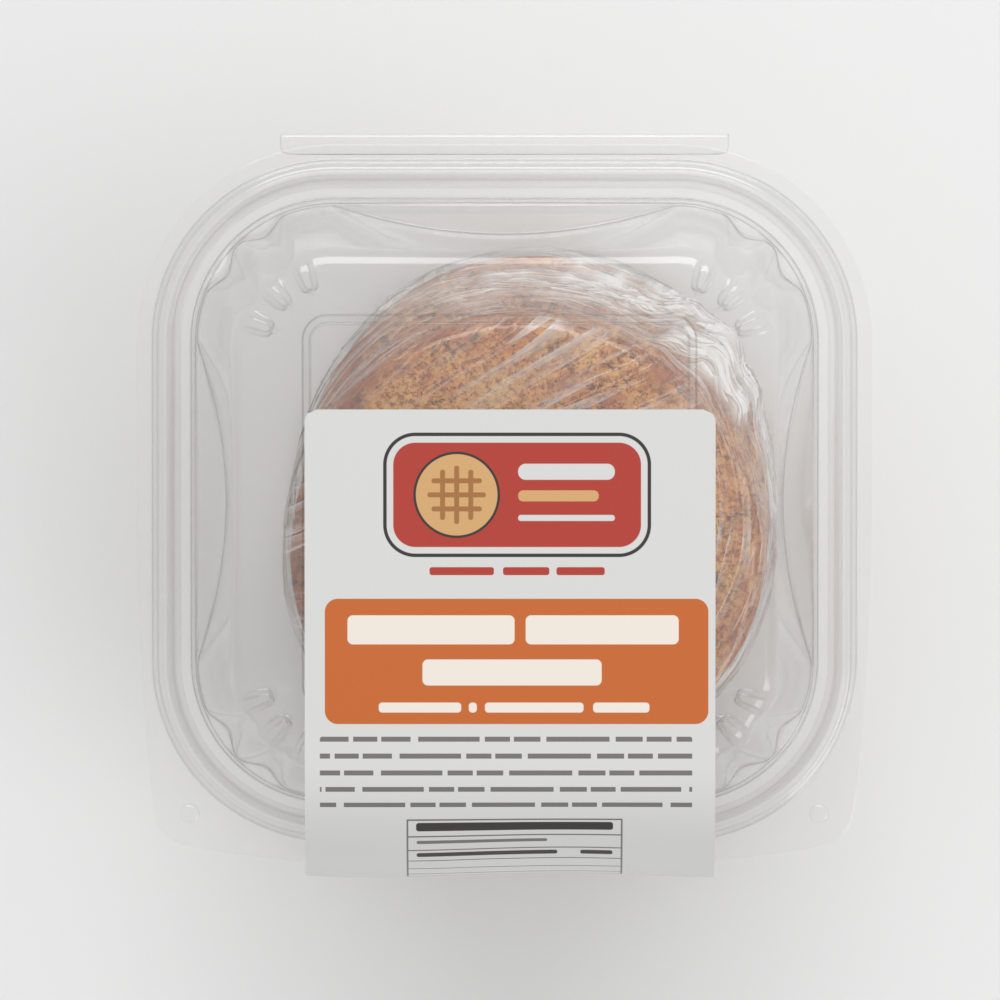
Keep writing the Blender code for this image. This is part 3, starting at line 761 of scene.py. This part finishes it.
film = {"clear": 0.55, "bevel": (3.2, 5), "voxel": 0.85, "wall": 0.07, "streakHeight": 0.35,
        "pleatHeight": 0.7, "gatherHeight": 0.8, "gatherReach": 4.6,
        # the streaks fan out over the top from a point, and run round an axis on the walls
        "topFrom": (42.8, 3.2), "fanFrom": (-88.0, -27.0), "fanRadius": 95, "axis": (6, -6),
        "wallRadius": 47, "rightSide": (34, 9), "rightEnd": (24, 8), "clearLeft": (26, 9),
        # folds that stand out past the stack at the knot: degrees round the stack, width, reach
        "bunches": [(43.0, 6.5, 4.6), (31.0, 5.0, 2.6), (54.0, 4.0, 2.0)],
        # where the film is gathered, X and Y in mm from the rim's centre, and how strongly
        "gather": [(-24, 36.8, 0.3), (-9, 41.4, 0.45), (4, 43.0, 0.6), (17, 41.8, 0.75), (27, 40.2, 0.95),
                   (37, 38, 1.1), (45, 33.5, 1.2), (49, 27, 1.1), (52, 19, 0.85), (54, 9, 0.65),
                   (55, -2, 0.5)]}


def nearGather(x, y):
    best, strength, along, travelled = 1e9, 0.0, 0.0, 0.0
    for (x1, y1, s1), (x2, y2, s2) in zip(film["gather"], film["gather"][1:]):
        dx, dy = x2 - x1, y2 - y1
        length = math.hypot(dx, dy)
        share = max(0.0, min(1.0, ((x - x1) * dx + (y - y1) * dy) / length**2))
        away = math.hypot(x - x1 - share * dx, y - y1 - share * dy)
        if away < best:
            best, strength, along = away, s1 + share * (s2 - s1), travelled + share * length
        travelled += length
    return best, strength, along


def noiseAt(*spot):
    return noise.noise(Vector(spot))


def ridge(*spot):
    # sharp crests where the noise passes through zero
    return max(0.0, 1 - abs(noiseAt(*spot)) * 5.5)


def makeFilm():
    selectNothing()
    parts = []
    for number in range(1, 5):
        deeper = 2 * film["clear"] if number > 1 else 0
        addDisc(number, film["clear"], deeper, *film["bevel"])
        parts.append(bpy.context.object)
    selectNothing()
    for part in parts:
        part.select_set(True)
    bpy.context.view_layer.objects.active = parts[0]
    bpy.ops.object.join()
    piece = nameNew("filmWrap", filmPlastic)
    bpy.ops.object.mode_set(mode="EDIT")
    bpy.ops.mesh.select_all(action="SELECT")
    bpy.ops.mesh.convex_hull()
    bpy.ops.object.mode_set(mode="OBJECT")
    settle(piece)
    applyModifier(piece, "REMESH", mode="VOXEL", voxel_size=film["voxel"] * mm, use_smooth_shade=True)
    bpy.ops.object.mode_set(mode="EDIT")
    mesh = bmesh.from_edit_mesh(piece.data)
    lowest = min(vert.co.z for vert in mesh.verts)
    for face in mesh.faces:
        face.select = face.normal.z < -0.9 and face.calc_center_median().z < lowest + 0.6 * mm
    bmesh.update_edit_mesh(piece.data)
    bpy.ops.mesh.delete(type="FACE")
    bpy.ops.object.mode_set(mode="OBJECT")
    creaseFilm(piece)
    applyModifier(piece, "SOLIDIFY", thickness=film["wall"] * mm, offset=1.0)
    settle(piece)
    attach(piece, "tray_body")
    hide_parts("film_wrap")


def creaseFilm(piece):
    # in each noise: scales per mm, and last its place
    points = piece.data.vertices
    normals = [Vector(point.normal) for point in points]
    shares = {"filmTop": [], "filmSide": [], "filmGather": []}
    flows = {"fanFlow": [], "sideFlow": [], "gatherFlow": []}
    fanX, fanY = film["fanFrom"]
    axisX, axisY = film["axis"]

    def ramp(value, name):
        start, length = film[name]
        return smoothStep((value - start) / length)

    for point, normal in zip(points, normals):
        x, y, z = point.co.x / mm, point.co.y / mm - rimY, point.co.z / mm
        far = math.hypot(x - fanX, y - fanY)
        fan = math.atan2(y - fanY, x - fanX) * film["fanRadius"]
        turn = math.atan2(y - axisY, x - axisX)
        around = turn * film["wallRadius"]
        fromAxis = math.hypot(x - axisX, y - axisY)
        # the streaks fan over the top, and follow the stack's edge along its right side and down its walls
        onTop = ramp(z, "topFrom")
        rightEnd, rightRange = film["rightEnd"]
        onTop *= 1 - ramp(x, "rightSide") * smoothStep((rightEnd - y) / rightRange)
        away, strength, travelled = nearGather(x, y)
        spread = 0.4 + 0.35 * noiseAt(travelled * 0.09, 0, 9.0) + 0.9 * strength**2
        gather = strength * math.exp(-(away / (film["gatherReach"] * spread)) ** 2) * smoothStep((z - 5) / 9)
        streak = ridge(far * 0.012, fan * 0.19, 1.0) * smoothStep(noiseAt(far * 0.03, fan * 0.06, 8.0) + 0.6)
        pleat = ridge(around * 0.03, z * 0.17, 3.0)
        pleat = max(pleat, 0.4 * ridge(around * 0.05 + z * 0.16, z * 0.04, 6.0))
        ruffle = ridge(travelled * 0.045, away * 0.5 + z * 0.12, 5.0)
        ruffle = max(ruffle, 0.8 * ridge(travelled * 0.16, (away - z) * 0.3, 7.0))
        height = onTop * film["streakHeight"] * streak + (1 - onTop) * film["pleatHeight"] * pleat
        height += gather * film["gatherHeight"] * (0.25 + ruffle)
        point.co += normal * height * mm
        bunch = 0.0
        for angle, width, reach in film["bunches"]:
            off = (math.degrees(turn) - angle) / width
            bunch += reach * math.exp(-(off**2))
        rise = smoothStep((z - 8) / 8) * smoothStep((46.5 - z) / 9)
        rise *= 1 - 0.3 * noiseAt(z * 0.2, around * 0.1, 2.0)
        point.co += Vector((math.cos(turn), math.sin(turn), 0)) * bunch * rise * mm
        gather = max(gather, smoothStep(bunch * rise / 4.0))
        # the left wall is stretched clear
        onSide = (1 - onTop) * (0.45 + 0.55 * pleat) * (1 - 0.8 * ramp(-x, "clearLeft"))
        shares["filmTop"].append(onTop)
        shares["filmSide"].append(onSide)
        shares["filmGather"].append(min(1.0, gather * (0.75 + 0.5 * ruffle)))
        flows["fanFlow"].append((far, fan, 0.0))
        flows["sideFlow"].append((around, z - fromAxis + 0.10 * around, 0.0))
        flows["gatherFlow"].append((travelled, away + 0.3 * z, 0.0))
    for name, values in shares.items():
        writeShare(piece, name, values)
    for name, values in flows.items():
        spread = piece.data.attributes.new(name, "FLOAT_VECTOR", "POINT")
        spread.data.foreach_set("vector", [part for value in values for part in value])
    piece.data.update()


makeFilm()
print("film made")


# the label

label = {"halfWidth": 40.8, "shift": 1.1, "backY": 20.8, "corner": 2.4, "topZ": 76.2, "bendY": -50.0,
         "frontY": -75.2, "endZ": 43.7, "thick": 0.14, "columns": 60, "rows": 130,
         "map": (100, 150),  # mm across and along for the whole of the UV map
         "freeFrom": (72, 20), "ripple": 0.35, "fineRipple": 0.05}
ink = {"paper": rgb(217, 217, 215), "innerPaper": rgb(214, 212, 209), "band": rgb(200, 103, 40),
       "cream": rgb(240, 230, 220), "red": rgb(178, 58, 46), "grey": rgb(118, 114, 112),
       "dark": rgb(52, 46, 46), "biscuit": rgb(214, 168, 112), "crust": rgb(166, 112, 62)}

# every printed field: middle across and along, half sizes, corner (all mm from the label's middle and
# back edge), ink
printed = [
    (1.3, 50.2, 38.1, 12.5, 2.6, "band"),
    # a plain badge: a biscuit disc with fork marks beside three bars
    (1.4, 17.0, 26.6, 12.4, 6.4, "dark"), (1.4, 17.0, 25.9, 11.7, 5.7, "paper"),
    (1.4, 17.0, 24.6, 10.4, 4.4, "red"),
    (-10.6, 17.0, 8.6, 8.6, 8.6, "dark"), (-10.6, 17.0, 8.1, 8.1, 8.1, "biscuit"),
    (-13.4, 17.0, 0.5, 5.0, 0.45, "crust"), (-10.6, 17.0, 0.5, 5.8, 0.45, "crust"),
    (-7.8, 17.0, 0.5, 5.0, 0.45, "crust"), (-10.6, 14.2, 5.0, 0.5, 0.45, "crust"),
    (-10.6, 17.0, 5.8, 0.5, 0.45, "crust"), (-10.6, 19.8, 5.0, 0.5, 0.45, "crust"),
    (11.2, 12.4, 9.6, 1.6, 1.5, "paper"), (9.6, 17.2, 8.0, 1.1, 1.0, "biscuit"),
    (11.2, 21.6, 9.6, 0.6, 0.55, "paper"),
    # plain bars
    (-9.6, 32.2, 6.4, 0.8, 0.5, "red"), (3.2, 32.2, 4.6, 0.8, 0.5, "red"), (14.0, 32.2, 4.8, 0.8, 0.5, "red"),
    (-15.7, 43.9, 16.6, 2.9, 1.1, "cream"), (18.3, 43.9, 15.2, 2.9, 1.1, "cream"),
    (0.4, 52.4, 17.8, 2.6, 1.1, "cream"), (-17.9, 59.4, 8.2, 1.0, 0.7, "cream"),
    (-7.4, 59.4, 0.8, 1.0, 0.7, "cream"), (4.8, 59.4, 9.8, 1.0, 0.7, "cream"),
    (22.1, 59.4, 5.6, 1.0, 0.7, "cream"),
    # the table's title and two bold rows
    (0.9, 84.6, 19.6, 1.1, 0.6, "dark"), (-5.6, 88.9, 13.0, 0.5, 0.4, "grey"),
    (-4.6, 93.4, 14.0, 0.8, 0.5, "dark"), (17.2, 93.4, 3.2, 0.8, 0.5, "dark"),
]
# rows of small print, each shifted and cut into words of uneven length
smallPrint = {"middle": -0.8, "halfWidth": 37.0, "from": 65.2, "to": 81.4, "corner": 0.5, "pitch": 3.38,
              "filled": 0.30, "rowShift": 3.7, "word": 8.6, "gap": 0.14, "uneven": (0.23, 2.6)}
table = {"middle": 0.9, "halfWidth": 21.5, "from": 82.6, "to": 108.0, "corner": 0.2, "pitch": 4.4,
         "line": 0.4, "border": 0.35}


def finishPaper(tree, colour, fibre, roughness):
    bump = put(tree, "ShaderNodeBump", {"Height": fibre, "Strength": 0.12, "Distance": 0.2 * mm})
    surface = put(tree, "ShaderNodeBsdfPrincipled", {"Base Color": colour, "Roughness": roughness,
                                                     "Normal": bump.outputs[0]})
    finishWith(tree, surface.outputs[0])


def makePlainPaper():
    finish, tree = newFinish("plainPaper")
    spot = put(tree, "ShaderNodeTexCoord").outputs["Object"]
    fibre = addNoise(tree, spot, 2500.0, 5.0).outputs[0]
    colour = mixColour(tree, remap(tree, fibre, 0.3, 0.7), ink["paper"], ink["innerPaper"])
    finishPaper(tree, colour, fibre, 0.6)
    return finish


def makeLabelPaper():
    finish, tree = newFinish("labelPaper")
    mapWidth, mapLength = label["map"]
    flat = put(tree, "ShaderNodeUVMap", uv_map="labelMap").outputs[0]
    point = vectorCalc(tree, "MULTIPLY", flat, (mapWidth, mapLength, 0))
    point = vectorCalc(tree, "SUBTRACT", point, (mapWidth / 2, 0, 0))
    parts = put(tree, "ShaderNodeSeparateXYZ", {0: point})
    across, along = parts.outputs[0], parts.outputs[1]

    def bar(u, v, halfU, halfV, corner):
        # 1 inside a round-cornered field and 0 outside it
        away = vectorCalc(tree, "ABSOLUTE", vectorCalc(tree, "SUBTRACT", point, (u, v, 0)))
        away = vectorCalc(tree, "SUBTRACT", away, (halfU - corner, halfV - corner, 0))
        length = vectorCalc(tree, "LENGTH", vectorCalc(tree, "MAXIMUM", away, (0, 0, 0)))
        return remap(tree, length, corner + 0.06, corner - 0.06)

    def field(area, inset=0.0):
        middle, half = (area["from"] + area["to"]) / 2, (area["to"] - area["from"]) / 2
        return bar(area["middle"], middle, area["halfWidth"] - inset, half - inset, area["corner"])

    def rowsOf(area):
        return calc(tree, "DIVIDE", calc(tree, "SUBTRACT", along, area["from"]), area["pitch"])

    colour = ink["paper"]
    for u, v, halfU, halfV, corner, name in printed:
        colour = mixColour(tree, bar(u, v, halfU, halfV, corner), colour, ink[name])
    rows = rowsOf(smallPrint)
    inRow = calc(tree, "LESS_THAN", calc(tree, "FRACT", rows), smallPrint["filled"])
    shifted = calc(tree, "MULTIPLY_ADD", calc(tree, "FLOOR", rows), smallPrint["rowShift"], across)
    turns, reach = smallPrint["uneven"]
    warp = calc(tree, "MULTIPLY", calc(tree, "SINE", calc(tree, "MULTIPLY", shifted, turns)), reach)
    words = calc(tree, "DIVIDE", calc(tree, "ADD", shifted, warp), smallPrint["word"])
    inWord = calc(tree, "GREATER_THAN", calc(tree, "FRACT", words), smallPrint["gap"])
    shown = calc(tree, "MULTIPLY", field(smallPrint), calc(tree, "MULTIPLY", inRow, inWord))
    colour = mixColour(tree, shown, colour, ink["grey"])
    # a framed table of plain rows
    inside = field(table, table["border"])
    lines = calc(tree, "LESS_THAN", calc(tree, "FRACT", rowsOf(table)), table["line"] / table["pitch"])
    drawn = calc(tree, "MAXIMUM", lines, calc(tree, "SUBTRACT", 1.0, inside))
    colour = mixColour(tree, calc(tree, "MULTIPLY", field(table), drawn), colour, ink["grey"])
    fibre = addNoise(tree, point, 3.0, 5.0).outputs[0]
    finishPaper(tree, colour, fibre, remap(tree, fibre, 0.3, 0.7, 0.42, 0.55))
    return finish


def labelProfile():
    # the side view from the back edge to the front one, as (length along, y, z), in even steps of length
    fine = [(label["backY"], label["topZ"]), (label["bendY"], label["topZ"])]
    for step in range(1, 181):
        angle = math.radians(step / 2)
        fine.append((label["bendY"] + (label["frontY"] - label["bendY"]) * math.sin(angle),
                     label["endZ"] + (label["topZ"] - label["endZ"]) * math.cos(angle)))
    lengths = [0.0]
    for (y1, z1), (y2, z2) in zip(fine, fine[1:]):
        lengths.append(lengths[-1] + math.hypot(y2 - y1, z2 - z1))
    steps = np.linspace(0, lengths[-1], label["rows"] + 1)
    return list(zip(steps, np.interp(steps, lengths, [spot[0] for spot in fine]),
                    np.interp(steps, lengths, [spot[1] for spot in fine])))


def makeLabel():
    profile = labelProfile()
    selectNothing()
    bpy.ops.mesh.primitive_grid_add(x_subdivisions=label["columns"], y_subdivisions=label["rows"], size=2,
                                    location=(0, 0, 0))
    piece = nameNew("labelSheet", makeLabelPaper())
    mapWidth, mapLength = label["map"]
    freeFrom, freeRange = label["freeFrom"]
    flatPlaces = []
    for vert in piece.data.vertices:
        length, y, z = profile[min(label["rows"], round((1 - vert.co.y) / 2 * label["rows"]))]
        half = label["halfWidth"]
        if length < label["corner"]:
            short = label["corner"] - length
            half += math.sqrt(max(0.0, label["corner"] ** 2 - short**2)) - label["corner"]
        u = vert.co.x * half
        # the paper ripples a little where nothing holds it
        free = smoothStep((length - freeFrom) / freeRange)
        ripple = label["ripple"] * free * math.sin(u * 0.09 + 0.6)
        ripple += label["fineRipple"] * noise.noise(Vector((u * 0.08, length * 0.08, 0)))
        flatPlaces.append((u / mapWidth + 0.5, length / mapLength))
        vert.co = ((u + label["shift"]) * mm, (y + rimY + ripple * free) * mm, z * mm)
    layer = piece.data.uv_layers.new(name="labelMap")
    for loop in piece.data.loops:
        layer.data[loop.index].uv = flatPlaces[loop.vertex_index]
    piece.data.uv_layers.active = layer
    piece.data.materials.append(makePlainPaper())
    applyModifier(piece, "SOLIDIFY", thickness=label["thick"] * mm, offset=-1.0, material_offset=1)
    settle(piece, 60)
    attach(piece, "lid_body")
    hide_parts("label")


makeLabel()
print("label made")


# floor, light and camera

stage = {"floor": (0.84, 0.84, 0.84, 1.0), "world": (0.90, 0.90, 0.90, 1.0), "worldStrength": 0.72}


def makeStage():
    selectNothing()
    bpy.ops.mesh.primitive_plane_add(size=6, location=(0, 0, -0.0004))
    finish, tree = newFinish("paleFloor")
    surface = put(tree, "ShaderNodeBsdfPrincipled", {"Base Color": stage["floor"], "Roughness": 0.7})
    finishWith(tree, surface.outputs[0])
    floor = nameNew("floor", finish)
    world = bpy.data.worlds.new("studio")
    world.use_nodes = True
    world.node_tree.nodes["Background"].inputs[0].default_value = stage["world"]
    world.node_tree.nodes["Background"].inputs[1].default_value = stage["worldStrength"]
    bpy.context.scene.world = world


lights = [  # name, place, width, depth, power
    ("backSoftbox", (0.0, 1.05, 1.15), 1.2, 0.7, 9.0),
    ("rightSoftbox", (1.15, -0.75, 1.1), 1.0, 0.9, 6.5),
]


def makeLights():
    for name, place, width, depth, power in lights:
        data = bpy.data.lights.new(name, "AREA")
        data.shape = "RECTANGLE"
        data.size, data.size_y = width, depth
        data.energy = power
        lamp = bpy.data.objects.new(name, data)
        bpy.context.scene.collection.objects.link(lamp)
        lamp.location = place
        aim = Vector((0, 0, 0.05)) - Vector(place)
        lamp.rotation_euler = aim.to_track_quat("-Z", "Y").to_euler()


view = {"lens": 800.0, "frame": 0.200, "tilt": 4.7, "target": (-0.0009, 0.00105, 0.04365)}


def makeCamera():
    data = bpy.data.cameras.new("photoView")
    data.lens = view["lens"]
    data.clip_end = 100.0
    camera = bpy.data.objects.new("photoView", data)
    bpy.context.scene.collection.objects.link(camera)
    far = view["frame"] * view["lens"] / data.sensor_width
    tilt = math.radians(view["tilt"])
    camera.location = Vector(view["target"]) + Vector((0, math.sin(tilt), math.cos(tilt))) * far
    camera.rotation_euler = (-tilt, 0, 0)
    bpy.context.scene.camera = camera


makeStage()
makeLights()
makeCamera()
bpy.context.scene.view_settings.view_transform = "Standard"
bpy.context.scene.cycles.transparent_max_bounces = 18  # a look through the pack crosses a dozen thin walls
bpy.context.scene.cycles.max_bounces = 3
bpy.context.scene.cycles.diffuse_bounces = 2
bpy.context.scene.cycles.glossy_bounces = 2
print("stage, lights and camera made")
